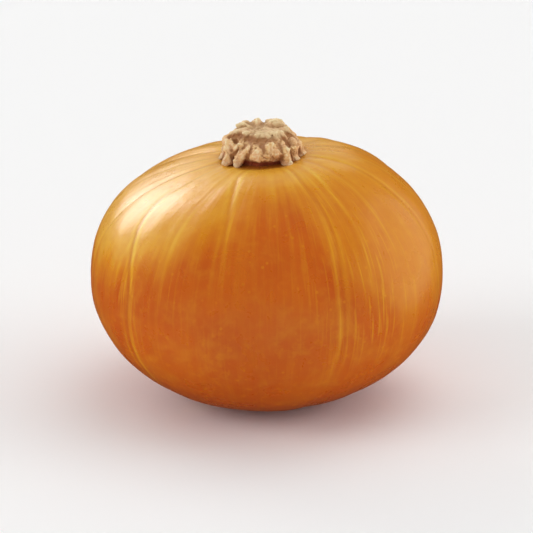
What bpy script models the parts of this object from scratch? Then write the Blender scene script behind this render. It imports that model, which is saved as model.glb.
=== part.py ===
"""Mini pumpkin: one small ribbed fruit and the dried stump of its stem.

Metres, +Z up. The origin is at the middle of the flat spot that the fruit rests on.
Azimuths are in degrees from the front (-Y), growing towards the right (+X).
Run it with blender --background --python part.py, or from the text editor.
"""

import math

import bmesh
import bpy
from mathutils import Vector

# ---------------------------------------------------------------- dimensions
HALF_WIDTH = 0.0450        # of the fruit, at its waist
HALF_HEIGHT = 0.0333       # of the undented body, above and below its waist
REST_CUT = 0.0011          # how much the flat spot takes off the lower end
WAIST_Z = HALF_HEIGHT - REST_CUT
TOP_POWER = 2.24           # superellipse powers: a fuller shoulder, a rounder underside
LOW_POWER = 2.12
DISH_DEPTH = 0.0024        # the shallow dish that the stem grows from
DISH_RADIUS = 0.0105
NAVEL_DEPTH = 0.0014       # the dimple of the blossom end
NAVEL_RADIUS = 0.0038
SHIFT_X = -0.00033         # keeps the uneven outline centred on the origin
SHIFT_Y = 0.00005

STEM_FOOT = 0.0110         # radius of the stem where it meets the skin
STEM_TOP = 0.0069          # radius of its cut face
STEM_HEIGHT = 0.0074       # from the skin to the rim of the cut face
STEM_GAP = 0.00035         # between the stem and the skin
STEM_X = -0.0010           # the stem grows a little to the left of the middle
STEM_Y = 0.0003

FRUIT_SEGMENTS = 90
STEM_SEGMENTS = 56

# Grooves between the ribs: (azimuth, depth in mm at the shoulder, how far down it reaches, wander phase).
# A reach of 1 runs to the blossom end, and one of 0.5 dies out at the waist.
GROOVES = (
    (-171, 0.45, 0.70, 0.4), (-153, 0.95, 1.00, 1.9), (-136, 0.60, 0.85, 3.1),
    (-117, 1.00, 1.00, 0.2), (-97, 0.55, 0.75, 5.2), (-77, 0.85, 1.00, 2.6),
    (-55, 1.05, 1.00, 4.0), (-37, 0.70, 0.62, 1.2), (-16, 0.95, 0.58, 0.9),
    (8, 0.35, 0.35, 3.7), (26, 1.00, 1.00, 5.9), (38, 0.50, 0.72, 2.2),
    (54, 0.60, 0.80, 0.7), (73, 0.95, 1.00, 4.6), (92, 0.50, 0.65, 1.5),
    (111, 1.00, 1.00, 3.3), (129, 0.60, 0.80, 5.5), (149, 0.95, 1.00, 0.1),
    (168, 0.65, 0.90, 2.9),
)

# Lobes of the stem: (azimuth, how far it stands out in mm, half-width in degrees)
STEM_LOBES = (
    (-164, 1.5, 20), (-118, 1.3, 19), (-74, 1.9, 20), (-30, 1.1, 16),
    (8, 1.2, 17), (44, 1.1, 15), (84, 1.7, 21), (140, 1.4, 20),
)


# ---------------------------------------------------------------- the fruit
def smooth_step(low, high, x):
    t = min(1.0, max(0.0, (x - low) / (high - low)))
    return t * t * (3.0 - 2.0 * t)


def turned(a, b):
    """The angle from b to a in degrees, between -180 and 180."""
    return (a - b + 180.0) % 360.0 - 180.0


def body_outline(theta):
    """(radius, height above the waist) of the plain body at the polar angle theta, 0 at the stem."""
    power = LOW_POWER + (TOP_POWER - LOW_POWER) * smooth_step(-0.5, 0.5, math.cos(theta))
    s, c = abs(math.sin(theta)), math.cos(theta)
    far = ((s / HALF_WIDTH) ** power + (abs(c) / HALF_HEIGHT) ** power) ** (-1.0 / power)
    return far * s, far * c


def groove_at(azimuth, theta):
    """How deep the skin dips between its ribs, in metres."""
    down = theta / math.pi
    near_stem = smooth_step(0.075, 0.17, down)
    near_navel = 1.0 - smooth_step(0.86, 0.95, down)
    along = 0.26 + 0.44 * math.exp(-(((down - 0.20) / 0.17) ** 2)) + 0.20 * math.exp(-(((down - 0.84) / 0.10) ** 2))
    total = 0.0
    for centre, depth, reach, phase in GROOVES:
        wander = 1.6 * math.sin(2.3 * theta + phase)
        away = abs(turned(azimuth, centre + wander))
        if away > 24.0:
            continue
        fade = 1.0 - smooth_step(reach - 0.22, reach + 0.08, down) if reach < 1.0 else 1.0
        cut = 0.45 * math.exp(-((away / 2.4) ** 2)) + 0.55 * math.exp(-((away / 7.5) ** 2))
        total += depth * 0.001 * fade * cut
    return total * along * near_stem * near_navel


def fruit_point(azimuth, theta):
    """A point of the skin."""
    radius, height = body_outline(theta)
    a = math.radians(azimuth)
    uneven = 1.0 + 0.0085 * math.cos(2.0 * (a - 1.35)) + 0.0060 * math.cos(3.0 * (a + 0.5)) + 0.0025 * math.cos(5.0 * (a - 0.3))
    shoulder = math.exp(-(((theta - 0.66) / 0.46) ** 2))
    height += shoulder * (0.00165 * math.sin(a - 0.15) + 0.00020 * math.cos(3.0 * a + 1.0))
    dip = groove_at(azimuth, theta)
    nx, nz = math.sin(theta) / HALF_WIDTH, math.cos(theta) / HALF_HEIGHT
    long = math.hypot(nx, nz)
    radius = radius * (1.0 + (uneven - 1.0) * math.sin(theta) ** 0.5) - dip * nx / long
    height -= dip * nz / long
    radius = max(radius, 0.0)
    if theta < math.pi / 2:
        height -= DISH_DEPTH * math.exp(-((radius / DISH_RADIUS) ** 2))
        z = WAIST_Z + height
    else:
        z = max(WAIST_Z + height, 0.0) + NAVEL_DEPTH * math.exp(-((radius / NAVEL_RADIUS) ** 4))
        if z < 0.00002:
            z = 0.0
    shifted = math.sin(theta) ** 2
    return Vector((
        radius * math.sin(a) + SHIFT_X * shifted,
        -radius * math.cos(a) + SHIFT_Y * shifted,
        z,
    ))


def ring_angles():
    """Polar angles of the rings, closer together in the dish and on the underside."""
    top = [math.radians(d) for d in (3.5, 7.0, 10.5, 14.0, 17.5, 21.0, 25.0, 30.0)]
    side = [math.radians(d) for d in range(36, 148, 7)]
    low = [math.radians(d) for d in (152.0, 156.5, 160.5, 164.0, 167.5, 171.0, 174.0, 177.0)]
    return [0.0] + top + side + low + [math.pi]


def make_fruit(material):
    bm = bmesh.new()
    profile = []
    for theta in ring_angles():
        radius, height = body_outline(theta)
        if theta in (0.0, math.pi):
            radius = 0.0
        profile.append(bm.verts.new((radius, 0.0, height)))
    edges = [bm.edges.new(pair) for pair in zip(profile, profile[1:])]
    bmesh.ops.spin(
        bm, geom=profile + edges, cent=(0, 0, 0), axis=(0, 0, 1), dvec=(0, 0, 0),
        angle=2.0 * math.pi, steps=FRUIT_SEGMENTS, use_merge=True,
    )
    bmesh.ops.remove_doubles(bm, verts=bm.verts, dist=1e-6)
    for v in bm.verts:
        radius = math.hypot(v.co.x, v.co.y)
        theta = math.atan2(radius, v.co.z)
        azimuth = math.degrees(math.atan2(v.co.x, -v.co.y))
        v.co = fruit_point(azimuth, theta)
    bmesh.ops.recalc_face_normals(bm, faces=bm.faces)
    return finished("pumpkin_fruit", bm, material)


# ---------------------------------------------------------------- the stem
def skin_height(x, y):
    """The height of the skin at this place, on the stem's side."""
    azimuth, radius = math.degrees(math.atan2(x, -y)), math.hypot(x, y)
    low, high = 0.0, math.radians(50.0)
    for _ in range(40):
        mid = 0.5 * (low + high)
        p = fruit_point(azimuth, mid)
        if math.hypot(p.x, p.y) < radius:
            low = mid
        else:
            high = mid
    return fruit_point(azimuth, 0.5 * (low + high)).z


def lobe_at(azimuth):
    """How far the stem's lobes stand out at this azimuth, in metres."""
    return 0.001 * sum(
        out * math.exp(-((turned(azimuth, centre) / half) ** 2))
        for centre, out, half in STEM_LOBES
    )


# Rings of the stem from its foot to the middle of its cut face: (radius before its lobes,
# share of the full height, how much of the lobes shows there)
STEM_RINGS = (
    (STEM_FOOT - 0.0004, 0.00, 1.00),
    (STEM_FOOT - 0.0006, 0.12, 1.00),
    (0.0092, 0.28, 0.80),
    (0.0083, 0.46, 0.72),
    (0.0079, 0.66, 0.80),
    (STEM_TOP + 0.0004, 0.84, 0.85),
    (STEM_TOP - 0.0001, 0.97, 0.70),
    (STEM_TOP - 0.0013, 1.04, 0.50),
    (0.0036, 0.99, 0.15),
    (0.0016, 0.97, 0.0),
)


def make_stem(material):
    bm = bmesh.new()
    ways = [360.0 * i / STEM_SEGMENTS - 180.0 for i in range(STEM_SEGMENTS)]
    hub = WAIST_Z + HALF_HEIGHT - 0.55 * DISH_DEPTH - 0.0006

    def spot(way, radius):
        a = math.radians(way)
        return STEM_X + radius * math.sin(a), STEM_Y - radius * math.cos(a)

    def ring(heights, radii):
        return [bm.verts.new((*spot(w, r), z)) for w, r, z in zip(ways, radii, heights)]

    def join(lower, upper):
        n = len(lower)
        for i in range(n):
            j = (i + 1) % n
            bm.faces.new((lower[i], lower[j], upper[j], upper[i]))

    def cap(edge, z, up):
        middle = bm.verts.new((STEM_X, STEM_Y, z))
        n = len(edge)
        for i in range(n):
            j = (i + 1) % n
            bm.faces.new((edge[i], edge[j], middle) if up else (edge[j], edge[i], middle))

    foot = [0.82 * STEM_FOOT + lobe_at(w) for w in ways]
    rings = []
    for share in (0.30, 0.60, 0.85):
        radii = [share * r for r in foot]
        rings.append(ring([skin_height(*spot(w, r)) + STEM_GAP for w, r in zip(ways, radii)], radii))
    for base, up, lobes in STEM_RINGS:
        radii = [base - 0.18 * STEM_FOOT * lobes + lobe_at(w) * lobes for w in ways]
        lift = [skin_height(*spot(w, min(r, 0.0112))) + STEM_GAP for w, r in zip(ways, radii)]
        heights = [
            (1.0 - up) * low + up * (hub + STEM_HEIGHT) + 0.00025 * math.sin(math.radians(3.0 * w + 40.0)) * up
            for w, low in zip(ways, lift)
        ]
        rings.append(ring(heights, radii))
    for lower, upper in zip(rings, rings[1:]):
        join(lower, upper)
    cap(rings[0], skin_height(STEM_X, STEM_Y) + STEM_GAP, up=False)
    cap(rings[-1], hub + STEM_HEIGHT * 0.96, up=True)
    bmesh.ops.recalc_face_normals(bm, faces=bm.faces)
    return finished("stem", bm, material)


# ---------------------------------------------------------------- the model
def finished(name, bm, material):
    mesh = bpy.data.meshes.new(name)
    bm.to_mesh(mesh)
    bm.free()
    mesh.materials.append(material)
    mesh.shade_smooth()
    obj = bpy.data.objects.new(name, mesh)
    bpy.context.scene.collection.objects.link(obj)
    return obj


def plain_material(name, colour, roughness):
    material = bpy.data.materials.new(name)
    material.use_nodes = True
    shader = material.node_tree.nodes["Principled BSDF"]
    shader.inputs["Base Color"].default_value = (*colour, 1.0)
    shader.inputs["Roughness"].default_value = roughness
    shader.inputs["Metallic"].default_value = 0.0
    return material


def main():
    for obj in list(bpy.data.objects):
        bpy.data.objects.remove(obj, do_unlink=True)
    skin = plain_material("pumpkin_skin", (0.62, 0.155, 0.012), 0.42)
    cork = plain_material("stem_cork", (0.42, 0.30, 0.17), 0.80)
    make_fruit(skin)
    make_stem(cork)


main()
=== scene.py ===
"""The looks of the mini pumpkin: its ribbed, waxy skin and its dried, corky stem."""

import math

import bmesh
import bpy
import numpy as np
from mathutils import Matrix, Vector


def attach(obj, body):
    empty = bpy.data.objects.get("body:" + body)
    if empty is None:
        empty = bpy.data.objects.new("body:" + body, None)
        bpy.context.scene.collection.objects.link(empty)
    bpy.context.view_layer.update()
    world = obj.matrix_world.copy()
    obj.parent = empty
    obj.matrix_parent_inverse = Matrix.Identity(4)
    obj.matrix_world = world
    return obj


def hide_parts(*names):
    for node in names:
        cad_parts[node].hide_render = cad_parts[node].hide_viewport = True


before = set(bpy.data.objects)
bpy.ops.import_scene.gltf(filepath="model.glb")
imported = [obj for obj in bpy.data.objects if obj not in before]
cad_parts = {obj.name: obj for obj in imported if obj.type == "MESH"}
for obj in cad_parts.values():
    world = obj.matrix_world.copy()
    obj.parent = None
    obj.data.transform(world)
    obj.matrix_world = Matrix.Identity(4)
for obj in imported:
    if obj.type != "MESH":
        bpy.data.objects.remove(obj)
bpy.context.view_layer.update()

MM = 0.001

# ---------------------------------------------------------------- the fruit's own shape, as built
HALF_WIDTH = 0.0450
HALF_HEIGHT = 0.0333
REST_CUT = 0.0011
WAIST_Z = HALF_HEIGHT - REST_CUT
TOP_POWER = 2.24
LOW_POWER = 2.12
DISH_DEPTH = 0.0024
DISH_RADIUS = 0.0105
NAVEL_DEPTH = 0.0014
NAVEL_RADIUS = 0.0038
SHIFT_X = -0.00033
SHIFT_Y = 0.00005

GROOVES = (
    (-171, 0.45, 0.70, 0.4), (-153, 0.95, 1.00, 1.9), (-136, 0.60, 0.85, 3.1),
    (-117, 1.00, 1.00, 0.2), (-97, 0.55, 0.75, 5.2), (-77, 0.85, 1.00, 2.6),
    (-55, 1.05, 1.00, 4.0), (-37, 0.70, 0.62, 1.2), (-16, 0.95, 0.58, 0.9),
    (8, 0.35, 0.35, 3.7), (26, 1.00, 1.00, 5.9), (38, 0.50, 0.72, 2.2),
    (54, 0.60, 0.80, 0.7), (73, 0.95, 1.00, 4.6), (92, 0.50, 0.65, 1.5),
    (111, 1.00, 1.00, 3.3), (129, 0.60, 0.80, 5.5), (149, 0.95, 1.00, 0.1),
    (168, 0.65, 0.90, 2.9),
)


# The look of each groove in the same order: how sharply it is cut, how dark the painted shade in its crease is, how
# golden its lips are, the side that the brighter lip is on, and how far down the lines are seen
LINE_LOOKS = (
    (0.30, 0.20, 0.45, 1, 0.55), (0.80, 0.55, 0.85, -1, 1.0), (0.35, 0.15, 0.60, 1, 0.60),
    (0.85, 0.60, 0.75, -1, 1.0), (0.30, 0.20, 0.50, 1, 0.55), (0.70, 0.45, 0.60, 1, 0.92),
    (0.95, 0.90, 1.30, 1, 1.0), (0.25, 0.10, 0.55, 1, 0.58), (0.70, 0.40, 1.20, 1, 0.46),
    (0.20, 0.05, 0.35, -1, 0.30), (0.80, 0.50, 0.95, -1, 0.66), (0.20, 0.08, 0.95, 1, 0.52),
    (0.30, 0.15, 0.45, -1, 0.50), (0.75, 0.40, 0.60, 1, 0.88), (0.30, 0.15, 0.55, -1, 0.50),
    (0.85, 0.60, 0.85, -1, 1.0), (0.35, 0.15, 0.50, 1, 0.55), (0.80, 0.50, 0.90, 1, 0.95),
    (0.40, 0.25, 0.60, -1, 0.70),
)


def smooth_step(low, high, x):
    t = np.clip((x - low) / (high - low), 0.0, 1.0)
    return t * t * (3.0 - 2.0 * t)


def turned(a, b):
    return (a - b + 180.0) % 360.0 - 180.0


def body_outline(theta):
    power = LOW_POWER + (TOP_POWER - LOW_POWER) * smooth_step(-0.5, 0.5, np.cos(theta))
    s, c = np.abs(np.sin(theta)), np.cos(theta)
    far = ((s / HALF_WIDTH) ** power + (np.abs(c) / HALF_HEIGHT) ** power) ** (-1.0 / power)
    return far * s, far * c


def drift(centre, down):
    """How far a groove bends aside from its azimuth, in degrees: two of them do on the way to the stem."""
    if centre == -16:
        return -10.0 * np.clip((0.34 - down) / 0.171, 0.0, 1.1) ** 1.4
    if centre == -55:
        return 3.0 - 10.0 * np.clip((0.47 - down) / 0.20, 0.0, 1.0) ** 1.2
    return 0.0


def groove_at(azimuth, theta):
    down = theta / math.pi
    near_stem = smooth_step(0.075, 0.17, down)
    near_navel = 1.0 - smooth_step(0.86, 0.95, down)
    along = 0.26 + 0.44 * np.exp(-(((down - 0.20) / 0.17) ** 2)) + 0.20 * np.exp(-(((down - 0.84) / 0.10) ** 2))
    total = np.zeros_like(azimuth * theta)
    for (centre, depth, reach, phase), (sharp, _, _, _, _) in zip(GROOVES, LINE_LOOKS):
        away = np.abs(turned(azimuth, centre + drift(centre, down) + 1.6 * np.sin(2.3 * theta + phase)))
        fade = 1.0 - smooth_step(reach - 0.22, reach + 0.08, down) if reach < 1.0 else 1.0
        cut = 0.17 * sharp * np.exp(-((away / 2.8) ** 2)) + (0.74 - 0.17 * sharp) * np.exp(-((away / 8.4) ** 2))
        total += np.where(away > 24.0, 0.0, depth * 0.001 * fade * cut)
    shallow = 1.0 - 0.55 * np.exp(-(((down - 0.19) / 0.12) ** 2) - (turned(azimuth, -46.0) / 38.0) ** 2)
    return total * along * near_stem * near_navel * shallow


def fruit_points(azimuth, theta):
    """Points of the plain skin for arrays of azimuths in degrees and polar angles in radians."""
    radius, height = body_outline(theta)
    a = np.radians(azimuth)
    uneven = 1.0 + 0.0085 * np.cos(2.0 * (a - 1.35)) + 0.0060 * np.cos(3.0 * (a + 0.5)) + 0.0025 * np.cos(5.0 * (a - 0.3))
    shoulder = np.exp(-(((theta - 0.66) / 0.46) ** 2))
    height = height + shoulder * (0.00165 * np.sin(a - 0.15) + 0.00020 * np.cos(3.0 * a + 1.0))
    dip = groove_at(azimuth, theta)
    nx, nz = np.sin(theta) / HALF_WIDTH, np.cos(theta) / HALF_HEIGHT
    long = np.hypot(nx, nz)
    radius = radius * (1.0 + (uneven - 1.0) * np.abs(np.sin(theta)) ** 0.5) - dip * nx / long
    height = height - dip * nz / long
    radius = np.maximum(radius, 0.0)
    dish = DISH_DEPTH * np.exp(-((radius / DISH_RADIUS) ** 2))
    navel = NAVEL_DEPTH * np.exp(-((radius / NAVEL_RADIUS) ** 4))
    z = np.where(theta < math.pi / 2, WAIST_Z + height - dish, np.maximum(WAIST_Z + height, 0.0) + navel)
    shifted = np.sin(theta) ** 2
    return np.stack((radius * np.sin(a) + SHIFT_X * shifted, -radius * np.cos(a) + SHIFT_Y * shifted, z), axis=-1)


# ---------------------------------------------------------------- noise
class Noise:
    """Smooth gradient noise of points in space, about -1 to 1, the same each run."""

    def __init__(self, seed):
        rng = np.random.default_rng(seed)
        self.order = np.concatenate([rng.permutation(256)] * 3).astype(np.int32)
        ways = rng.normal(size=(256, 3))
        self.ways = (ways / np.linalg.norm(ways, axis=1, keepdims=True)).astype(np.float32)

    def __call__(self, p):
        p = np.asarray(p, np.float32)
        cell = np.floor(p).astype(np.int32)
        f = p - cell
        u = f * f * f * (f * (f * 6.0 - 15.0) + 10.0)
        cell &= 255
        total = np.zeros(p.shape[:-1], np.float32)
        for dx in (0, 1):
            wx = u[..., 0] if dx else 1.0 - u[..., 0]
            for dy in (0, 1):
                wy = u[..., 1] if dy else 1.0 - u[..., 1]
                for dz in (0, 1):
                    wz = u[..., 2] if dz else 1.0 - u[..., 2]
                    h = self.order[self.order[self.order[cell[..., 0] + dx] + cell[..., 1] + dy] + cell[..., 2] + dz]
                    g = self.ways[h]
                    dot = g[..., 0] * (f[..., 0] - dx) + g[..., 1] * (f[..., 1] - dy) + g[..., 2] * (f[..., 2] - dz)
                    total += wx * wy * wz * dot
        return total * 1.6

    def layered(self, p, octaves=3, gain=0.5):
        p = np.asarray(p, np.float32)
        total, size, scale = 0.0, 1.0, 1.0
        for i in range(octaves):
            total = total + size * self(p * scale + 17.3 * i)
            size *= gain
            scale *= 2.03
        return total


def new_mesh(name, points, faces, smooth=True):
    mesh = bpy.data.meshes.new(name)
    mesh.from_pydata(points.tolist() if hasattr(points, "tolist") else points, [], faces)
    mesh.update()
    if smooth:
        mesh.shade_smooth()
    obj = bpy.data.objects.new(name, mesh)
    bpy.context.scene.collection.objects.link(obj)
    return obj


def store(obj, name, values):
    values = np.asarray(values, np.float32)
    kind = "FLOAT_VECTOR" if values.ndim == 2 else "FLOAT"
    attribute = obj.data.attributes.new(name, kind, "POINT")
    attribute.data.foreach_set("vector" if values.ndim == 2 else "value", values.ravel())


# ---------------------------------------------------------------- the stem's plan, used by the skin round it too
STEM_X, STEM_Y = -1.0, 0.3         # mm, the middle of the stem
# The swollen skirt of the stem, lobe by lobe, in degrees and mm:
# (azimuth, distance from the stem's middle, height, size outwards, sideways and upwards)
LOBES = (
    (-88, 7.9, 3.1, 2.4, 2.6, 2.3), (-68, 8.1, 3.0, 2.2, 2.1, 2.2), (-48, 7.7, 3.3, 1.5, 1.3, 1.6),
    (-9, 7.7, 3.1, 2.1, 2.3, 1.9), (16, 7.6, 3.5, 2.2, 2.4, 2.1), (3, 8.0, 2.9, 2.10, 3.9, 1.8),
    (43, 8.0, 2.7, 1.8, 1.6, 2.2), (64, 8.0, 3.0, 2.2, 2.3, 2.3), (86, 7.9, 2.7, 2.3, 2.3, 2.1),
    (114, 7.8, 2.7, 2.5, 2.9, 2.3), (150, 7.9, 2.9, 2.2, 2.4, 2.3), (-178, 7.8, 2.7, 2.1, 2.4, 2.2),
    (-150, 7.9, 2.9, 2.3, 2.5, 2.3), (-119, 7.8, 2.8, 2.4, 2.8, 2.3),
)
# Ridges that join the rim of the cut face to the skirt: (azimuth at the rim, azimuth and distance and
# height of the lower end, thickness at the top and at the bottom)
RIDGES = (
    (-77, -87, 8.9, 3.3, 1.50, 1.60), (36, 40, 9.0, 2.2, 1.15, 1.10), (50, 70, 8.7, 3.5, 1.00, 1.40),
    (88, 94, 8.4, 2.8, 0.80, 1.20), (120, 116, 8.5, 2.8, 1.40, 1.50), (152, 150, 8.6, 2.8, 0.85, 1.20),
    (-168, -158, 8.5, 2.9, 1.20, 1.35), (-126, -120, 8.4, 2.9, 1.15, 1.35),
)
# Feet that run down from the skirt and a little way out over the skin: (azimuth, distance, thickness)
FEET = (
    (-112, 10.0, 1.05), (-84, 9.9, 0.90), (-58, 10.5, 1.05), (-40, 10.5, 0.95), (41, 10.4, 1.05), (60, 10.1, 0.90), (82, 9.9, 1.15),
    (107, 10.1, 1.05), (131, 10.1, 0.90), (154, 10.2, 1.05), (-174, 10.0, 0.90), (-150, 10.2, 1.10), (-131, 10.1, 0.85),
)


# ---------------------------------------------------------------- the skin
def make_skin():
    around, rings = 420, 216
    azimuth = -180.0 + 360.0 * np.arange(around) / around
    # rings closer together by the stem and by the blossom end
    t = np.linspace(0.0, 1.0, rings + 2)[1:-1]
    theta = math.pi * (t - 0.055 * np.sin(2.0 * math.pi * t) - 0.008 * np.sin(4.0 * math.pi * t))
    az, th = np.meshgrid(azimuth, theta)
    plain = fruit_points(az, th)

    def normals(p):
        across = np.roll(p, -1, axis=1) - np.roll(p, 1, axis=1)
        along = np.empty_like(p)
        along[1:-1] = p[2:] - p[:-2]
        along[0], along[-1] = p[1] - p[0], p[-1] - p[-2]
        n = np.cross(along, across)
        return n / np.maximum(np.linalg.norm(n, axis=-1, keepdims=True), 1e-12)

    n = normals(plain)
    if (n[rings // 2, :, :2] * plain[rings // 2, :, :2]).sum() < 0:
        n = -n
    mm = plain / MM
    down = th / math.pi
    rad = np.radians(az)
    radius = np.hypot(mm[..., 0], mm[..., 1])
    top = down < 0.5
    from_stem = np.hypot(mm[..., 0] - STEM_X, mm[..., 1] - STEM_Y)

    lumps, streaks, fine = Noise(3), Noise(11), Noise(23)
    ring_way = np.stack((np.cos(rad), np.sin(rad), np.zeros_like(rad)), axis=-1)

    def striped(count, length, noise, octaves=2):
        """Noise drawn out along the ribs: about count stripes round the fruit, length from pole to pole."""
        k = count / (2.0 * math.pi)
        p = np.stack((k * np.cos(rad), k * np.sin(rad), length * th), axis=-1)
        return noise.layered(p, octaves)

    away_from_poles = smooth_step(0.03, 0.10, down) * (1.0 - smooth_step(0.90, 0.97, down))

    # broad unevenness of a grown fruit
    d = 0.24 * lumps.layered(mm / 18.0, 3, 0.42) * away_from_poles
    d += 0.016 * fine.layered(mm / 2.6, 2) * away_from_poles
    # long faint ridges that break up the highlights
    upper = 1.0 - smooth_step(0.22, 0.52, down)
    shiny = np.exp(-((turned(az, -56.0) / 26.0) ** 2))
    d += (0.006 + (0.022 + 0.026 * shiny) * upper) * striped(60, 1.1, streaks, 2) * away_from_poles
    d += (0.003 + (0.012 + 0.018 * shiny) * upper) * striped(180, 1.6, fine, 2) * away_from_poles

    # the crease at the bottom of each groove, a slight dip darkened with painted shade, with a slightly raised lip
    crease_shade = np.zeros_like(d)
    gold = np.zeros_like(d)
    for (centre, _, _, phase), (sharp, dark, golden, side, reach) in zip(GROOVES, LINE_LOOKS):
        middle = centre + drift(centre, down) + 1.6 * np.sin(2.3 * th + phase) + 0.5 * np.sin(9.0 * th + 2.0 * phase)
        off = turned(az, middle) * math.pi / 180.0 * np.maximum(radius, 4.0)
        fade = 1.0 - smooth_step(reach - 0.25, reach + 0.03, down) if reach < 1.0 else 1.0 - smooth_step(0.90, 0.96, down)
        fade = fade * (smooth_step(0.17, 0.33, down) if centre == -55 else smooth_step(0.085, 0.13, down))
        lively = 0.65 + 0.35 * np.sin(7.0 * th + phase * 3.0) * np.sin(3.1 * th + phase)
        line = np.exp(-((off / 0.50) ** 2)) * fade * (0.75 + 0.25 * lively)
        crease_shade = np.maximum(crease_shade, line * dark)
        lip = np.exp(-(((off - 1.05 * side) / 0.60) ** 2)) + 0.45 * np.exp(-(((off + 1.3 * side) / 0.6) ** 2))
        gold = np.maximum(gold, lip * golden * fade * lively)
        d += (-0.06 * line + 0.03 * lip * fade) * sharp

    # where the skin is gold: round the stem, further down on some sides, with a ragged edge. Partly the skin's own ripe
    # gold and partly painted light: the golder, paler top and upper-left shoulder stand in for light falling from above
    # and for the sheen round the highlight
    stations = (-180, -140, -110, -85, -63, -50, -38, -27, -16, -7, 5, 17, 28, 38, 50, 62, 75, 95, 120, 150, 180)
    edge_down = (0.33, 0.40, 0.44, 0.45, 0.44, 0.415, 0.39, 0.35, 0.305, 0.265, 0.25, 0.25, 0.45, 0.46, 0.50, 0.51, 0.51, 0.47, 0.42, 0.36, 0.33)
    how_gold = (0.60, 0.75, 0.95, 1.05, 1.09, 0.97, 0.80, 0.73, 0.66, 0.50, 0.43, 0.39, 0.36, 0.40, 0.50, 0.60, 0.61, 0.58, 0.62, 0.60, 0.60)
    gold_edge = np.interp(az, stations, edge_down)
    level = np.interp(az, stations, how_gold)
    ragged = down - 0.030 * striped(46, 0.9, streaks, 2) - 0.014 * striped(150, 1.2, fine, 2)
    ripe_and_painted_light = level * (1.0 - smooth_step(gold_edge - 0.06, gold_edge + 0.06, ragged))
    ripe_and_painted_light += (0.74 - 0.62 * level) * (1.0 - smooth_step(0.13, 0.26, ragged))
    for way, where, wide, tall, amount in (
        (-16, 0.70, 12.0, 0.06, 0.10), (14, 0.66, 9.0, 0.05, 0.12), (160, 0.62, 13.0, 0.10, 0.25), (-144, 0.48, 11.0, 0.10, 0.25),
        (104, 0.52, 10.0, 0.08, 0.20),
    ):
        near = np.exp(-((turned(az, way) / wide) ** 2) - (((down - where) / tall) ** 2))
        ripe_and_painted_light += amount * near * (0.80 + 0.4 * striped(90, 1.3, fine, 2))

    # where thin broken golden streaks show
    shoulder = smooth_step(0.09, 0.17, down) * (1.0 - smooth_step(0.46, 0.66, down))
    streaky = 0.12 + 0.0 * down
    for way, wide, amount in ((42, 25.0, 0.95), (-54, 22.0, 0.70), (82, 16.0, 0.5), (122, 22.0, 0.75), (170, 20.0, 0.6), (-128, 26.0, 0.8)):
        streaky = np.maximum(streaky, amount * np.exp(-((turned(az, way) / wide) ** 2)) * shoulder)

    # pleats that run out from under the stem
    rng = np.random.default_rng(5)
    pleats = 46
    at = -180.0 + 360.0 * (np.arange(pleats) + rng.uniform(-0.32, 0.32, pleats)) / pleats
    deep = rng.uniform(0.35, 1.0, pleats)
    out_to = rng.uniform(16.0, 27.0, pleats)
    bend = rng.uniform(-2.5, 2.5, pleats)
    pleat = np.zeros_like(d)
    for centre, size, end, curve in zip(at, deep, out_to, bend):
        off = turned(az, centre + curve * np.sin(radius / 7.0)) * math.pi / 180.0 * np.maximum(radius, 4.0)
        width = 0.38 + 0.022 * radius
        stay = smooth_step(7.5, 10.0, radius) * (1.0 - smooth_step(0.45 * end, end, radius)) * top
        pleat += size * stay * np.exp(-((off / width) ** 2))
    pleat = np.minimum(pleat, 1.2)
    d -= 0.08 * pleat

    # the skin lifts towards each foot of the stem
    pucker = np.zeros_like(d)
    way_from_stem = np.degrees(np.arctan2(mm[..., 0] - STEM_X, -(mm[..., 1] - STEM_Y)))
    for foot, reach, _ in FEET:
        off = turned(way_from_stem, foot) * math.pi / 180.0 * from_stem
        pucker += np.exp(-((off / 1.1) ** 2)) * np.exp(-(((from_stem - reach - 0.3) / 1.8) ** 2)) * top
    d += 0.35 * pucker - 0.20 * np.exp(-(((from_stem - 10.2) / 1.3) ** 2)) * top

    # dents and healed scratches from growing and handling
    scar = np.zeros_like(d)
    for way, where, size, depth in (
        (-24, 0.63, 2.6, 0.16), (61, 0.55, 2.1, 0.12), (128, 0.46, 3.0, 0.18), (-98, 0.50, 2.2, 0.13),
        (-148, 0.60, 3.2, 0.20), (18, 0.74, 2.4, 0.12), (171, 0.40, 2.0, 0.12),
    ):
        c = fruit_points(np.array([[float(way)]]), np.array([[where * math.pi]]))[0, 0] / MM
        d -= depth * np.exp(-((mm - c) ** 2).sum(-1) / (size * size))
    for way, where, long, tilt in ((142, 0.43, 3.4, 0.5), (-128, 0.57, 2.6, -0.8), (96, 0.66, 2.2, 1.3), (-166, 0.35, 2.0, 0.2)):
        c = fruit_points(np.array([[float(way)]]), np.array([[where * math.pi]]))[0, 0] / MM
        u = turned(az, way) * math.pi / 180.0 * radius
        v = (mm[..., 2] - c[2])
        a = u * math.cos(tilt) + v * math.sin(tilt)
        b = -u * math.sin(tilt) + v * math.cos(tilt) + 0.25 * np.sin(a * 1.7)
        near = (((mm - c) ** 2).sum(-1) < 100.0)
        width = 0.40 * np.clip(1.0 - 0.85 * (a / long) ** 2, 0.15, 1.0)
        mark = np.exp(-((b / width) ** 2)) * (1.0 - smooth_step(0.4 * long, long, np.abs(a))) * near
        scar = np.maximum(scar, 0.56 * mark)
        d += 0.07 * mark

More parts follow.
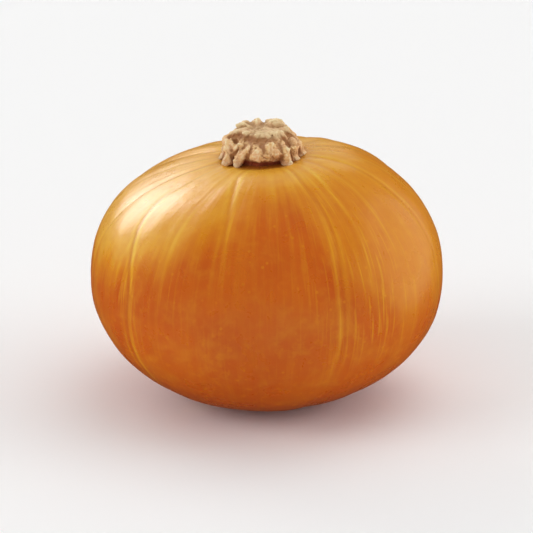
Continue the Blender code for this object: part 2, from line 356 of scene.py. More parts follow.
    # the blossom end: wrinkles that run into the dimple, and a small corky ring round its scar
    under = down > 0.5
    run_in = under * smooth_step(2.2, 4.0, radius) * (1.0 - smooth_step(5.0, 11.0, radius))
    d -= 0.10 * run_in * (0.5 + 0.5 * striped(30, 0.5, streaks, 1)) * (radius < 4.6)
    ring_wobble = 2.05 + 0.30 * np.sin(3.0 * rad + 0.6) + 0.18 * np.sin(7.0 * rad)
    ring = np.exp(-(((radius - ring_wobble) / 0.48) ** 2)) * under
    button = np.exp(-((radius / 1.1) ** 2)) * under
    d += 0.42 * ring + 0.22 * button
    d += 0.10 * fine.layered(mm / 0.8, 2) * (ring + button)
    scar = np.maximum(scar, np.clip(ring + 0.9 * button, 0, 1))

    # the spot it rests on stays flat
    on_floor = under * (plain[..., 2] < 0.00003) * smooth_step(4.0, 5.0, radius)
    d = np.where(on_floor > 0, 0.0, d)
    near_floor = smooth_step(0.0, 2.2, mm[..., 2])
    d = np.where(under & (radius > 4.5), d * near_floor, d)

    points = plain + n * (d * MM)[..., None]
    points[..., 2] = np.where(under, np.maximum(points[..., 2], 0.0), points[..., 2])

    flat = points.reshape(-1, 3)
    north = flat[:around].mean(0)
    south = flat[-around:].mean(0)
    every = np.vstack((flat, north, south))
    last = len(flat)
    faces = []
    for r in range(rings - 1):
        base, nxt = r * around, (r + 1) * around
        for i in range(around):
            j = (i + 1) % around
            faces.append((base + i, nxt + i, nxt + j, base + j))
    for i in range(around):
        j = (i + 1) % around
        faces.append((i, j, last))
        end = (rings - 1) * around
        faces.append((end + j, end + i, last + 1))
    obj = new_mesh("pumpkin_skin", every, faces)

    def with_ends(values):
        values = np.asarray(values, float)
        if values.ndim == 3:
            v = values.reshape(-1, 3)
            return np.vstack((v, values[0].mean(0), values[-1].mean(0)))
        return np.concatenate((values.ravel(), [values[0].mean(), values[-1].mean()]))

    store(obj, "crease_shade", with_ends(np.clip(crease_shade, 0, 1)))
    store(obj, "gold", with_ends(np.clip(gold, 0, 1)))
    store(obj, "ripe_and_painted_light", with_ends(np.clip(ripe_and_painted_light, 0, 1.2)))
    store(obj, "streaky", with_ends(np.clip(streaky, 0, 1)))
    store(obj, "pleat", with_ends(np.clip(pleat, 0, 1)))
    store(obj, "scar", with_ends(np.clip(scar, 0, 1)))
    store(obj, "down", with_ends(down))
    store(obj, "from_stem", with_ends(np.where(top, from_stem, 60.0)))
    stripe = np.stack((10.0 * np.cos(rad), 10.0 * np.sin(rad), th), axis=-1)
    store(obj, "stripe", with_ends(stripe))
    return obj


# ---------------------------------------------------------------- the stem
def surface_of(field, origin, step):
    """Points and quads of the surface where the field is zero, one point a cell."""
    inside = field < 0
    shape = tuple(s - 1 for s in field.shape)
    total = np.zeros(shape + (3,), np.float32)
    count = np.zeros(shape, np.float32)
    crossings = []
    for axis in range(3):
        low = [slice(None)] * 3
        high = [slice(None)] * 3
        low[axis], high[axis] = slice(0, -1), slice(1, None)
        a, b = field[tuple(low)], field[tuple(high)]
        cross = inside[tuple(low)] != inside[tuple(high)]
        share = np.where(cross, a / np.where(cross, a - b, 1.0), 0.0)
        crossings.append((cross, inside[tuple(low)]))
        where = np.stack(np.meshgrid(*[np.arange(s, dtype=np.float32) for s in a.shape], indexing="ij"), axis=-1)
        where[..., axis] += share
        where *= cross[..., None]
        u, v = [k for k in range(3) if k != axis]
        for du in (0, 1):
            for dv in (0, 1):
                part = [slice(None)] * 3
                part[u] = slice(du, du + shape[u])
                part[v] = slice(dv, dv + shape[v])
                total += where[tuple(part)]
                count += cross[tuple(part)]
    used = count > 0
    index = np.full(shape, -1, np.int64)
    index[used] = np.arange(int(used.sum()))
    points = total[used] / count[used][:, None] * step + origin
    quads = []
    for axis, (cross, from_inside) in enumerate(crossings):
        u, v = [k for k in range(3) if k != axis]
        keep = [slice(None)] * 3
        keep[u] = slice(1, -1)
        keep[v] = slice(1, -1)
        found = np.argwhere(cross[tuple(keep)])
        if not len(found):
            continue
        found[:, u] += 1
        found[:, v] += 1
        start = from_inside[tuple(found.T)]
        corner = []
        for du, dv in ((1, 1), (0, 1), (0, 0), (1, 0)):
            at = found.copy()
            at[:, u] -= du
            at[:, v] -= dv
            corner.append(index[tuple(at.T)])
        quad = np.stack(corner, axis=1)
        turn = start if axis != 1 else ~start
        quad = np.where(turn[:, None], quad, quad[:, ::-1])
        quads.append(quad)
    return points, np.vstack(quads)


def biggest_piece(points, quads):
    """Leaves out crumbs that aren't joined to the main body."""
    label = np.arange(len(points))
    while True:
        low = label[quads].min(axis=1)
        new = label.copy()
        for k in range(4):
            np.minimum.at(new, quads[:, k], low)
        new = new[new]
        if (new == label).all():
            break
        label = new
    names, sizes = np.unique(label, return_counts=True)
    keep = label == names[sizes.argmax()]
    renumber = np.cumsum(keep) - 1
    stay = keep[quads].all(axis=1)
    return points[keep], renumber[quads[stay]], keep


def blurred(field, reach):
    """The field averaged over a box of 2 * reach + 1 cells each way."""
    out = field.astype(np.float64)
    for axis in range(3):
        pad = [(0, 0)] * 3
        pad[axis] = (reach + 1, reach)
        sums = np.cumsum(np.pad(out, pad, mode="edge"), axis=axis)
        n = field.shape[axis]
        high = np.take(sums, np.arange(2 * reach + 1, 2 * reach + 1 + n), axis=axis)
        low = np.take(sums, np.arange(0, n), axis=axis)
        out = (high - low) / (2 * reach + 1)
    return out.astype(np.float32)


def sampled(field, points, origin, step):
    g = (points - origin) / step
    i = np.clip(np.floor(g).astype(int), 0, np.array(field.shape) - 2)
    f = g - i
    total = 0.0
    for dx in (0, 1):
        for dy in (0, 1):
            for dz in (0, 1):
                w = (f[:, 0] if dx else 1 - f[:, 0]) * (f[:, 1] if dy else 1 - f[:, 1]) * (f[:, 2] if dz else 1 - f[:, 2])
                total = total + w * field[i[:, 0] + dx, i[:, 1] + dy, i[:, 2] + dz]
    return total


def make_stem():
    step = 0.155
    low = np.array((-12.6, -12.6, -2.2), np.float32)
    high = np.array((12.6, 12.6, 9.8), np.float32)
    axes = [np.arange(l, h, step, dtype=np.float32) for l, h in zip(low, high)]
    x, y, z = np.meshgrid(*axes, indexing="ij")
    r = np.hypot(x, y)
    az = np.degrees(np.arctan2(x, -y))

    # height of the skin under the stem, on the same zero as z
    theta = np.radians(np.linspace(0.0, 26.0, 120))
    ways = np.arange(-180.0, 180.0, 3.0)
    table = fruit_points(*np.meshgrid(ways, theta)) / MM
    ring_r = np.hypot(table[..., 0], table[..., 1]).mean(axis=1)
    ring_z = table[..., 2].mean(axis=1)
    base = float(np.interp(10.4, ring_r, ring_z))
    skin = np.interp(np.hypot(x[:, :, 0] + STEM_X, y[:, :, 0] + STEM_Y), ring_r, ring_z) - base
    lean = 1.65 * np.exp(-(((math.asin(0.23) - 0.66) / 0.46) ** 2)) * np.sin(np.radians(az[:, :, 0]) - 0.15) * np.clip(r[:, :, 0] / 10.4, 0, 1)
    skin = (skin + lean).astype(np.float32)[:, :, None]

    # it grew a little crooked: every shape below stands in a gently bent space
    plain = np.stack((x, y, z), axis=-1)
    bent = Noise(41)
    every_fourth = [l + 4.0 * step * np.arange(len(a) // 4 + 2, dtype=np.float32) for l, a in zip(low, axes)]
    sparse = np.stack(np.meshgrid(*every_fourth, indexing="ij"), axis=-1)

    def spread(values):
        """Fills in the cells between every fourth one."""
        for axis, n in enumerate(x.shape):
            at = np.arange(n) / 4.0
            i = at.astype(int)
            f = (at - i).reshape([n if k == axis else 1 for k in range(3)])
            values = np.take(values, i, axis=axis) * (1.0 - f) + np.take(values, i + 1, axis=axis) * f
        return values.astype(np.float32)

    x = x + spread(0.85 * bent.layered(sparse / 5.5, 2, 0.45))
    y = y + spread(0.85 * bent.layered(sparse / 5.5 + 31.0, 2, 0.45))
    z = z + spread(0.45 * bent.layered(sparse / 5.0 + 57.0, 2, 0.45))
    r = np.hypot(x, y)
    az = np.degrees(np.arctan2(x, -y))

    def join(a, b, soft):
        h = np.maximum(soft - np.abs(a - b), 0.0) / soft
        return np.minimum(a, b) - h * h * soft * 0.25

    def cut(a, b, soft):
        """a without b."""
        h = np.maximum(soft - np.abs(a + b), 0.0) / soft
        return np.maximum(a, -b) + h * h * soft * 0.25

    def window(points, reach):
        points = np.asarray(points, float)
        lo = np.clip(((points.min(0) - reach - 0.9 - low) / step).astype(int), 0, np.array(x.shape) - 1)
        hi = np.clip(((points.max(0) + reach + 0.9 - low) / step).astype(int) + 2, 1, np.array(x.shape))
        return tuple(slice(a, b) for a, b in zip(lo, hi))

    def rod(points, radii, part):
        """Distance to a chain of rods whose thickness changes from point to point."""
        px, py, pz = x[part], y[part], z[part]
        best = np.full(px.shape, 99.0, np.float32)
        for p, q, ra, rb in zip(points, points[1:], radii, radii[1:]):
            ux, uy, uz = (q[i] - p[i] for i in range(3))
            t = ((px - p[0]) * ux + (py - p[1]) * uy + (pz - p[2]) * uz) / (ux * ux + uy * uy + uz * uz)
            t = np.clip(t, 0.0, 1.0)
            gone = np.sqrt((px - p[0] - t * ux) ** 2 + (py - p[1] - t * uy) ** 2 + (pz - p[2] - t * uz) ** 2)
            best = np.minimum(best, gone - (ra + (rb - ra) * t))
        return best

    def ball(centre, sizes, part, turn=0.0, tip=0.0):
        """About the distance to an ellipsoid that points outwards at the azimuth turn, tipped by tip."""
        px, py, pz = x[part] - centre[0], y[part] - centre[1], z[part] - centre[2]
        s, c = math.sin(math.radians(turn)), math.cos(math.radians(turn))
        out, side = px * s - py * c, px * c + py * s
        st, ct = math.sin(math.radians(tip)), math.cos(math.radians(tip))
        out, up = out * ct + pz * st, -out * st + pz * ct
        k = np.sqrt((out / sizes[0]) ** 2 + (side / sizes[1]) ** 2 + (up / sizes[2]) ** 2)
        return (k - 1.0) * min(sizes)

    def polar(way, reach, height):
        a = math.radians(way)
        return (reach * math.sin(a), -reach * math.cos(a), height)

    # the woody core, waisted under the rim, and the slab of the cut face over it
    waist = np.interp(z, (-2.2, 0.5, 1.3, 2.4, 3.5, 4.4, 5.1, 5.7, 6.2, 6.9), (8.0, 8.2, 9.0, 9.2, 8.8, 8.2, 7.4, 6.4, 5.6, 5.2))
    core = np.maximum(r - waist, z - 6.8) * 0.85
    field = core.astype(np.float32)
    wavy = 5.35 + 0.20 * np.sin(np.radians(3.0 * az + 20.0)) + 0.15 * np.sin(np.radians(7.0 * az))
    for rim, _, _, _, thick, _ in RIDGES:
        wavy = wavy + (0.15 + 0.42 * thick) * np.exp(-((turned(az, rim) / 12.0) ** 2))
    level = 6.62 + 0.22 * np.sin(np.radians(az + 75.0)) + 0.16 * np.sin(np.radians(2.0 * az + 40.0))
    slab = np.maximum(r - wavy, np.abs(z - level) - 0.34 - 0.05 * (6.0 - r)) * 0.85
    field = join(field, slab.astype(np.float32), 0.8)

    for way, out, high_up, a, b, c in LOBES:
        centre = polar(way, out, high_up)
        part = window([centre], 5.2)
        field[part] = join(field[part], ball(centre, (a, b, c), part, turn=way, tip=-26.0), 0.45)
    for rim, way, out, high_up, thick, end in RIDGES:
        chain = [polar(rim, 5.0, 6.4), polar(rim, 6.1, 6.0), polar(0.5 * (rim + way), 7.5, 4.7), polar(way, out, high_up)]
        part = window(chain, 3.6)
        field[part] = join(field[part], rod(chain, (0.75 * thick, 0.85 * thick, 0.42 * (thick + end), end), part), 0.55)
    # a long lobe that leans across the front
    chain = [polar(-20, 7.0, 4.5), polar(-27, 8.3, 3.5), polar(-34, 9.3, 2.0)]
    part = window(chain, 3.0)
    field[part] = join(field[part], rod(chain, (1.05, 1.25, 1.15), part), 0.45)
    for way, out, thick in FEET:
        ground = float(np.interp(out, ring_r, ring_z)) - base
        chain = [polar(way, 8.4, 2.3), polar(way, out - 1.0, ground + 1.0), polar(way, out - 0.1, ground + 0.3), polar(way, out + 0.7, ground - 0.25)]
        part = window(chain, 3.4)
        field[part] = join(field[part], rod(chain, (1.50 * thick, 1.45 * thick, 1.20 * thick, 0.75 * thick), part), 0.55)

    # knobs on the cut face, the rim and the skirt
    for px, py, pz, size in (
        (-5.0, 2.2, 7.1, (1.4, 1.2, 0.8)), (-1.6, 3.7, 7.4, (1.5, 1.2, 1.0)), (3.0, 3.3, 7.2, (2.3, 1.7, 0.8)),
        (5.5, 0.4, 6.7, (1.2, 1.5, 0.7)), (-3.9, -3.1, 6.8, (1.3, 1.2, 0.45)),
        (3.7, -3.4, 6.8, (1.4, 1.2, 0.45)), (-4.4, 4.4, 6.8, (1.2, 1.3, 0.7)), (1.2, 5.7, 6.8, (1.3, 1.5, 0.7)),
        (7.2, -2.8, 4.5, (1.4, 1.4, 0.8)), (9.2, -1.4, 3.1, (1.1, 1.6, 1.1)), (-8.4, -0.9, 4.3, (1.3, 1.6, 0.9)),
        (-8.9, -3.9, 2.9, (0.9, 1.2, 1.1)), (2.9, -8.8, 3.4, (0.7, 1.3, 0.9)), (-2.0, -8.9, 2.4, (0.7, 1.2, 0.7)),
        (-9.4, 2.6, 2.7, (1.0, 1.3, 1.0)), (3.2, 9.0, 2.6, (1.1, 1.3, 1.0)), (-3.8, 8.6, 3.2, (1.1, 1.3, 1.1)),
        (7.9, 4.8, 3.2, (1.0, 1.4, 1.0)),
    ):
        part = window([(px, py, pz)], 3.4)
        field[part] = join(field[part], ball((px, py, pz), size, part, turn=math.degrees(math.atan2(px, -py))), 0.6)

    # hollows under the rim, creases between the lobes, and pits and clefts in the cut face
    for way, out, high_up, size, tip in (
        (-38, 6.9, 5.7, (0.6, 1.4, 0.34), -20), (-8, 6.7, 5.8, (0.6, 1.3, 0.28), -20), (-60, 7.8, 4.9, (0.6, 0.6, 0.6), -20),
        (47, 8.7, 4.3, (0.9, 0.50, 0.75), -30), (-76, 9.9, 1.3, (0.9, 0.45, 1.0), 20), (-50, 10.3, 1.0, (1.2, 0.55, 0.8), 20),
        (-45, 9.2, 3.2, (0.8, 0.26, 1.0), 10), (-20, 9.3, 3.2, (0.6, 0.25, 1.0), 10),
        (33, 9.8, 1.5, (0.9, 0.38, 1.1), 20), (53, 10.1, 1.6, (0.9, 0.40, 1.1), 20), (73, 10.2, 1.6, (0.9, 0.40, 1.1), 20),
        (104, 8.3, 4.6, (1.1, 0.9, 0.8), -20), (136, 8.2, 4.5, (1.1, 1.2, 0.8), -20), (174, 8.0, 4.6, (1.1, 1.4, 0.7), -20),
        (-141, 8.3, 4.4, (1.2, 1.2, 0.9), -20), (-106, 8.2, 4.6, (1.0, 1.1, 0.7), -20),
        (98, 10.1, 1.5, (1.1, 0.50, 1.2), 20), (140, 10.0, 1.5, (1.2, 0.55, 1.2), 20), (166, 9.9, 1.5, (1.0, 0.45, 1.1), 20),
        (-163, 9.9, 1.5, (1.0, 0.45, 1.1), 20), (-134, 10.1, 1.5, (1.2, 0.60, 1.2), 20), (-106, 10.1, 1.4, (1.1, 0.45, 1.1), 20),
    ):
        p = polar(way, out, high_up)
        part = window([p], 4.2)
        field[part] = cut(field[part], ball(p, size, part, turn=way, tip=tip), 0.6)
    for way, out, long, wide in (
        (-38, 6.5, 0.7, 0.26), (24, 6.6, 0.8, 0.28), (60, 6.7, 1.2, 0.32),
        (104, 6.8, 1.8, 0.40), (138, 6.7, 1.2, 0.34), (173, 6.7, 2.0, 0.42), (-146, 6.8, 1.4, 0.38), (-102, 6.8, 1.6, 0.36),
    ):
        p = polar(way, out, 7.2)
        part = window([p], 3.8)
        field[part] = cut(field[part], ball(p, (long, wide, 1.0), part, turn=way), 0.5)
    for px, py, pz, size, turn in (
        (4.7, -1.2, 7.7, (1.0, 0.5, 0.6), 70), (-0.9, 0.9, 7.8, (1.3, 0.8, 0.6), 15), (-3.4, 0.2, 7.7, (1.0, 0.4, 0.5), -60),
        (1.6, 0.4, 7.7, (1.1, 0.4, 0.5), 120), (0.6, 3.2, 7.9, (0.6, 1.0, 0.7), 170),
    ):
        part = window([(px, py, pz)], 3.0)
        field[part] = cut(field[part], ball((px, py, pz), size, part, turn=turn), 0.5)

    # the weathered surface: knobbly, then grainy, with wrinkles that run down the ridges
    near = np.abs(field) < 1.3
    p = plain[near]
    coarse, grain, wrinkle = Noise(7), Noise(13), Noise(29)
    rough = 0.20 * coarse.layered(p / 3.2, 2)
    rough += 0.10 * (1.0 - 2.4 * np.abs(coarse.layered(p / 1.7 + 9.0, 2)))
    down_ridges = np.stack((6.5 * np.sin(np.radians(az[near])), 6.5 * np.cos(np.radians(az[near])), 0.30 * z[near] + 0.2 * r[near]), axis=-1)
    rough += 0.13 * wrinkle.layered(down_ridges / 0.90, 2)
    rough += 0.085 * grain.layered(p / 0.80, 3)
    rough -= 0.20 * np.maximum(0.0, 1.0 - np.abs(wrinkle.layered(p * (1.0, 1.0, 0.55) / 2.3 + 5.0, 2)) / 0.11)
    field[near] -= rough

    # the underside follows the skin's shallow dish, a little inside it, and the lobes without feet stay clear of it
    field = np.maximum(field, (skin - 0.28) - plain[..., 2])
    points, quads = surface_of(field, low, step)
    points, quads, _ = biggest_piece(points, quads)

    near_curve = sampled(blurred(field, 3), points, low, step)
    wide_curve = sampled(blurred(field, 8), points, low, step)
    top = smooth_step(5.8, 6.7, points[:, 2])
    # a mask of the stem's underside close to the skin, used for painted shade
    underside_shade = (1.0 - smooth_step(0.5, 1.2, points[:, 2])) * (1.0 - smooth_step(8.6, 9.5, np.hypot(points[:, 0], points[:, 1])))
    world = points.copy()
    world[:, 0] += STEM_X
    world[:, 1] += STEM_Y
    world[:, 2] += base
    obj = new_mesh("dried_stem", world * MM, quads.tolist())
    store(obj, "hollow_fine", near_curve)
    store(obj, "hollow_wide", wide_curve)
    store(obj, "cut_face", top)
    store(obj, "underside_shade", underside_shade)
    store(obj, "height", points[:, 2])
    store(obj, "local", points)
    return obj


# ---------------------------------------------------------------- materials
class Graph:
    """Short names for building a node material."""

    def __init__(self, name):
        self.material = bpy.data.materials.new(name)
        self.material.use_nodes = True
        self.tree = self.material.node_tree
        self.tree.nodes.clear()
        self.output = self.add("ShaderNodeOutputMaterial")
        self.shader = self.add("ShaderNodeBsdfPrincipled")
        self.link(self.shader.outputs[0], self.output.inputs["Surface"])

    def add(self, kind, **settings):
        node = self.tree.nodes.new(kind)
        for key, value in settings.items():
            setattr(node, key, value)
        return node

    def link(self, a, b):
        self.tree.links.new(a, b)

    def put(self, socket, value):
        if isinstance(value, bpy.types.NodeSocket):
            self.link(value, socket)
        elif isinstance(value, tuple) and len(value) == 3 and socket.type == "RGBA":
            socket.default_value = (*value, 1.0)
        else:
            socket.default_value = value

    def attribute(self, name, vector=False):
        node = self.add("ShaderNodeAttribute", attribute_name=name)
        return node.outputs["Vector" if vector else "Fac"]

    def math(self, operation, a, b=0.0, c=None, clamp=False):
        node = self.add("ShaderNodeMath", operation=operation, use_clamp=clamp)
        self.put(node.inputs[0], a)
        self.put(node.inputs[1], b)
        if c is not None:
            self.put(node.inputs[2], c)
        return node.outputs[0]

    def span(self, value, low, high, out_low=0.0, out_high=1.0, smooth=True):
        node = self.add("ShaderNodeMapRange", interpolation_type="SMOOTHSTEP" if smooth else "LINEAR")
        self.put(node.inputs["Value"], value)
        for key, v in (("From Min", low), ("From Max", high), ("To Min", out_low), ("To Max", out_high)):
            node.inputs[key].default_value = v
        return node.outputs["Result"]

    def mix(self, amount, a, b, blend="MIX"):
        node = self.add("ShaderNodeMix", data_type="RGBA", blend_type=blend, clamp_factor=True)
        self.put(node.inputs["Factor"], amount)
        self.put(node.inputs[6], a)
        self.put(node.inputs[7], b)
        return node.outputs[2]

    def scaled(self, vector, scale):
        node = self.add("ShaderNodeVectorMath", operation="MULTIPLY")
        self.put(node.inputs[0], vector)
        node.inputs[1].default_value = scale
        return node.outputs[0]

    def noise(self, vector, scale, detail=2.0, rough=0.5, warp=0.0):
        node = self.add("ShaderNodeTexNoise")
        self.put(node.inputs["Vector"], vector)
        node.inputs["Scale"].default_value = scale
        node.inputs["Detail"].default_value = detail
        node.inputs["Roughness"].default_value = rough
        node.inputs["Distortion"].default_value = warp
        return node.outputs["Fac"]

    def cells(self, vector, scale, feature="F1", jitter=1.0):
        node = self.add("ShaderNodeTexVoronoi", feature=feature)
        self.put(node.inputs["Vector"], vector)
        node.inputs["Scale"].default_value = scale
        node.inputs["Randomness"].default_value = jitter
        return node.outputs["Distance"]

    def bump(self, height, distance, strength=1.0, after=None):
        node = self.add("ShaderNodeBump")
        self.put(node.inputs["Height"], height)
        node.inputs["Distance"].default_value = distance
        node.inputs["Strength"].default_value = strength
        if after is not None:
            self.link(after, node.inputs["Normal"])
        return node.outputs["Normal"]

    def finish(self, colour, roughness, normal, **constants):
        self.put(self.shader.inputs["Base Color"], colour)
        self.put(self.shader.inputs["Roughness"], roughness)
        self.put(self.shader.inputs["Normal"], normal)
        for key, value in constants.items():
            self.shader.inputs[key.replace("_", " ")].default_value = value
        return self.material


def skin_material():
    g = Graph("pumpkin_skin")
    place = g.add("ShaderNodeTexCoord").outputs["Object"]
    stripe = g.attribute("stripe", vector=True)
    crease_shade, gold, pleat = g.attribute("crease_shade"), g.attribute("gold"), g.attribute("pleat")
    scar, down, from_stem = g.attribute("scar"), g.attribute("down"), g.attribute("from_stem")
    ripe_and_painted_light, streaky = g.attribute("ripe_and_painted_light"), g.attribute("streaky")

    broad = g.noise(place, 38.0, 3.0, 0.55)
    patch = g.noise(place, 110.0, 4.0, 0.6, 0.4)
    long_stripes = g.noise(g.scaled(stripe, (0.95, 0.95, 0.9)), 1.0, 4.0, 0.62)
    fine_stripes = g.noise(g.scaled(stripe, (3.6, 3.6, 2.4)), 1.0, 3.0, 0.6)

    deep = (0.560, 0.086, 0.0022)
    orange = (0.630, 0.122, 0.0032)
    golden = (0.760, 0.290, 0.0060)
    # a pale gold that is partly the skin's own colour and partly painted sheen
    pale_and_sheen = (0.850, 0.470, 0.0500)
    colour = g.mix(g.span(broad, 0.34, 0.66), deep, orange)
    colour = g.mix(g.math("MULTIPLY", g.span(patch, 0.48, 0.72), 0.34), colour, golden)
    stripes = g.span(g.math("ADD", g.math("MULTIPLY", long_stripes, 0.62), g.math("MULTIPLY", fine_stripes, 0.38)), 0.42, 0.68)
    colour = g.mix(g.math("MULTIPLY", stripes, g.span(down, 0.18, 0.46, 0.55, 0.13)), colour, golden)
    # partly painted light: gold, and pale where the mask is high, for the ripe skin but also for the top lit from above
    # and the sheen round the highlight
    colour = g.mix(g.span(ripe_and_painted_light, 0.0, 0.75, 0.0, 1.0, smooth=False), colour, golden)
    colour = g.mix(g.span(ripe_and_painted_light, 0.50, 1.15, 0.0, 0.85), colour, pale_and_sheen)
    # painted shade: darker and redder towards the underside, where it turns away from the lights
    colour = g.mix(g.span(down, 0.56, 0.80, 0.0, 0.92), colour, (0.465, 0.046, 0.0018))
    # thin broken streaks, and a faint mottling
    dashes = g.span(g.noise(g.scaled(stripe, (5.4, 5.4, 3.2)), 1.0, 1.5, 0.5), 0.54, 0.68)
    gaps = g.span(g.noise(g.scaled(stripe, (4.6, 4.6, 3.8)), 1.0, 1.5, 0.5), 0.54, 0.70)
    colour = g.mix(g.math("MULTIPLY", g.math("MULTIPLY", gaps, streaky), 0.12), colour, (0.580, 0.105, 0.0030))
    colour = g.mix(g.math("MULTIPLY", g.math("MULTIPLY", dashes, streaky), 0.50), colour, (0.830, 0.400, 0.0080))
    speckle = g.span(g.noise(place, 500.0, 2.0, 0.6), 0.52, 0.74)
    colour = g.mix(g.math("MULTIPLY", speckle, g.span(down, 0.32, 0.62, 0.13, 0.36)), colour, (0.740, 0.240, 0.0035))
    mottle = g.span(g.noise(place, 300.0, 3.0, 0.65), 0.38, 0.62)
    colour = g.mix(g.math("MULTIPLY", mottle, 0.12), colour, deep)
    # golden lines beside the grooves, broken along their length
    broken = g.span(fine_stripes, 0.30, 0.62, 0.35, 1.0)
    line = g.mix(g.span(ripe_and_painted_light, 0.35, 0.95), (0.870, 0.430, 0.0110), (0.930, 0.600, 0.0700))
    colour = g.mix(g.math("MULTIPLY", g.math("MULTIPLY", gold, broken), 0.88), colour, line)
    # painted shade: a dark line along the bottom of each groove
    colour = g.mix(g.math("MULTIPLY", crease_shade, 0.42), colour, (0.440, 0.070, 0.0030))
    colour = g.mix(g.math("MULTIPLY", pleat, 0.22), colour, (0.600, 0.170, 0.0060))
    # small pale pores
    pores = g.cells(place, 460.0)
    open_here = g.span(g.noise(place, 160.0, 1.0), 0.50, 0.62)
    dots = g.math("MULTIPLY", g.span(pores, 0.10, 0.24, 1.0, 0.0), open_here)
    colour = g.mix(g.math("MULTIPLY", dots, 0.26), colour, (0.820, 0.360, 0.0060))
    # painted shadow of the stem: dark maroon on the skin right under it; and cork on the healed places
    painted_stem_shadow = g.span(from_stem, 9.4, 12.0, 1.0, 0.0)
    colour = g.mix(g.math("MULTIPLY", painted_stem_shadow, 0.80), colour, (0.230, 0.028, 0.006))
    colour = g.mix(g.span(scar, 0.25, 0.80), colour, (0.400, 0.240, 0.110))

    rough = g.math("ADD", g.span(patch, 0.3, 0.7, 0.26, 0.32), g.math("MULTIPLY", scar, 0.35))
    peel = g.noise(place, 900.0, 2.0, 0.6)
    pits = g.span(pores, 0.05, 0.30, 0.0, 1.0)
    normal = g.bump(g.noise(g.scaled(stripe, (9.0, 9.0, 6.0)), 1.0, 2.0, 0.5), 0.00006, 0.5)
    normal = g.bump(peel, 0.00005, 0.45, after=normal)
    normal = g.bump(pits, 0.00003, 0.35, after=normal)
    return g.finish(colour, rough, normal, IOR=1.50, Specular_IOR_Level=0.46)


def stem_material():
    g = Graph("stem_cork")
    place = g.attribute("local", vector=True)
    fine, wide = g.attribute("hollow_fine"), g.attribute("hollow_wide")
    face, height = g.attribute("cut_face"), g.attribute("height")

    patch = g.noise(place, 0.42, 4.0, 0.6, 0.5)
    speck = g.noise(place, 2.3, 5.0, 0.65, 0.3)
    fibre = g.noise(g.scaled(place, (1.9, 1.9, 0.45)), 1.0, 4.0, 0.6, 0.3)

    tan = (0.810, 0.460, 0.170)
    cream = (0.980, 0.820, 0.490)
    pink = (0.815, 0.440, 0.210)
    brown = (0.330, 0.120, 0.036)
    grey_green = (0.790, 0.605, 0.340)
    colour = g.mix(g.span(patch, 0.38, 0.62), tan, pink)
    colour = g.mix(g.math("MULTIPLY", g.span(speck, 0.42, 0.66), 0.45), colour, cream)
    colour = g.mix(g.math("MULTIPLY", face, g.span(patch, 0.30, 0.70, 0.75, 0.35)), colour, grey_green)
    both = g.math("ADD", g.math("MULTIPLY", fine, 0.6), g.math("MULTIPLY", wide, 0.4))
    # cream on the knobs and ridges: partly paler weathered cork, partly painted highlight on their lit tops
    pale_knobs_and_highlight = g.span(g.math("ADD", both, g.math("MULTIPLY", g.math("SUBTRACT", fibre, 0.5), 0.16)), 0.09, 0.30)
    colour = g.mix(g.math("MULTIPLY", pale_knobs_and_highlight, 0.92), colour, cream)
    # brown in the hollows and creases: partly darker cork, partly painted shade
    dark_hollows_and_shade = g.span(g.math("ADD", wide, g.math("MULTIPLY", g.math("SUBTRACT", speck, 0.5), 0.20)), -0.06, 0.22, 1.0, 0.0)
    colour = g.mix(g.math("MULTIPLY", dark_hollows_and_shade, g.span(face, 0.0, 1.0, 0.82, 0.50)), colour, brown)
    foot = g.span(height, 0.2, 1.7, 1.0, 0.0)
    colour = g.mix(g.math("MULTIPLY", foot, 0.40), colour, (0.62, 0.34, 0.21))
    # painted shade: dark maroon on the stem's underside, where it meets the skin
    colour = g.mix(g.math("MULTIPLY", g.attribute("underside_shade"), 0.92), colour, (0.300, 0.045, 0.012))

    normal = g.bump(speck, 0.00022, 0.55)
    normal = g.bump(g.noise(place, 7.0, 3.0, 0.6), 0.00008, 0.5, after=normal)
    return g.finish(colour, g.span(speck, 0.3, 0.7, 0.62, 0.86), normal, IOR=1.45)


skin = make_skin()
skin.data.materials.append(skin_material())
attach(skin, "root")
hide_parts("pumpkin_fruit")

stem = make_stem()
stem.data.materials.append(stem_material())
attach(stem, "root")
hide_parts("stem")


# ---------------------------------------------------------------- the studio
def make_floor():
    bm = bmesh.new()
    bmesh.ops.create_circle(bm, cap_ends=True, segments=96, radius=9.0)
    mesh = bpy.data.meshes.new("floor")
    bm.to_mesh(mesh)
    bm.free()
    floor = bpy.data.objects.new("floor", mesh)
    bpy.context.scene.collection.objects.link(floor)
    g = Graph("floor")
    place = g.add("ShaderNodeTexCoord").outputs["Object"]
    colour = g.mix(g.noise(place, 1.2, 2.0), (0.978, 0.978, 0.978), (0.986, 0.986, 0.986))
    g.put(g.shader.inputs["Base Color"], colour)
    g.shader.inputs["Roughness"].default_value = 0.9
    g.shader.inputs["Specular IOR Level"].default_value = 0.1
    mesh.materials.append(g.material)
    floor.visible_glossy = False


def sun(name, way, height, angle, strength, colour=(1.0, 1.0, 1.0)):
    """A soft light far off: way is its azimuth from the front towards the right, and angle is how wide it is."""
    data = bpy.data.lights.new(name, "SUN")
    data.angle = math.radians(angle)
    data.energy = strength
    data.color = colour
    obj = bpy.data.objects.new(name, data)
    bpy.context.scene.collection.objects.link(obj)
    a, e = math.radians(way), math.radians(height)
    towards = Vector((math.sin(a) * math.cos(e), -math.cos(a) * math.cos(e), math.sin(e)))
    obj.location = towards * 3.0
    obj.rotation_euler = towards.to_track_quat("Z", "Y").to_euler()
    return obj


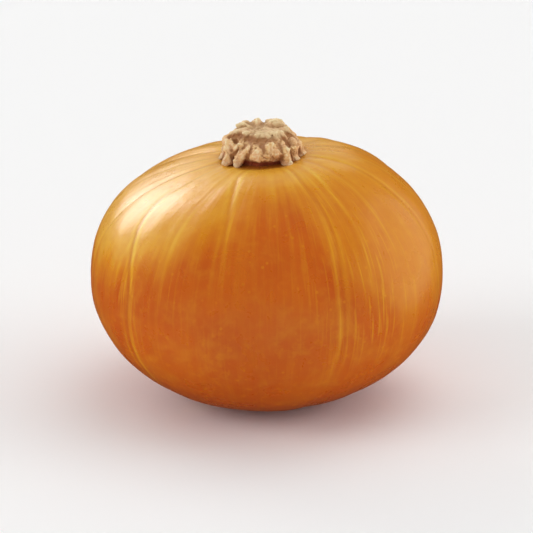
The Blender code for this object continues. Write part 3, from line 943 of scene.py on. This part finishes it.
make_floor()
sun("key", -150, 23, 36, 0.52, (1.0, 0.98, 0.95)).visible_glossy = False
sun("sheen", -143, 27, 33, 1.48).visible_diffuse = False
sun("sheen left", -118, 35, 60, 0.44).visible_diffuse = False
sun("sheen back", -172, 28, 46, 0.27).visible_diffuse = False
sun("sheen right", 108, 14, 66, 0.62).visible_diffuse = False
sun("back", 154, 36, 60, 0.40).visible_glossy = False
sun("left", -71, 26, 36, 0.85).visible_glossy = False
sun("top", 125, 68, 50, 0.43).visible_glossy = False
sun("low left", -98, 8, 50, 0.30).visible_glossy = False
sun("right", 86, 14, 50, 1.16).visible_glossy = False
sun("front", -5, 26, 100, 0.17).visible_glossy = False

# a white backdrop for the camera, which the skin mirrors only as a dim warm card
world = bpy.data.worlds.new("studio")
world.use_nodes = True
backdrop = world.node_tree.nodes["Background"]
seen = world.node_tree.nodes.new("ShaderNodeLightPath")
card = world.node_tree.nodes.new("ShaderNodeMix")
card.data_type = "RGBA"
card.inputs[6].default_value = (1.0, 1.0, 1.0, 1.0)
card.inputs[7].default_value = (0.36, 0.18, 0.09, 1.0)
world.node_tree.links.new(seen.outputs["Is Glossy Ray"], card.inputs["Factor"])
world.node_tree.links.new(card.outputs[2], backdrop.inputs["Color"])
strength = world.node_tree.nodes.new("ShaderNodeMapRange")
strength.inputs["To Min"].default_value = 0.42
strength.inputs["To Max"].default_value = 0.929
world.node_tree.links.new(seen.outputs["Is Camera Ray"], strength.inputs["Value"])
world.node_tree.links.new(strength.outputs["Result"], backdrop.inputs["Strength"])
bpy.context.scene.world = world

view = bpy.context.scene.view_settings
view.view_transform = "Standard"
view.look = "None"
view.exposure = 0.0
view.gamma = 1.0

camera = bpy.data.cameras.new("camera")
camera_object = bpy.data.objects.new("camera", camera)
bpy.context.scene.collection.objects.link(camera_object)
aim = Vector((0.0, 0.0, 0.0338))
elevation = math.radians(20.0)
distance = 1.1
camera_object.location = aim + distance * Vector((0.0, -math.cos(elevation), math.sin(elevation)))
camera_object.rotation_euler = (aim - camera_object.location).to_track_quat("-Z", "Y").to_euler()
camera.sensor_width = 36.0
camera.lens = 36.0 * distance / (0.0904 / 0.66)
camera.clip_start = 0.05
camera.clip_end = 50.0
bpy.context.scene.camera = camera_object
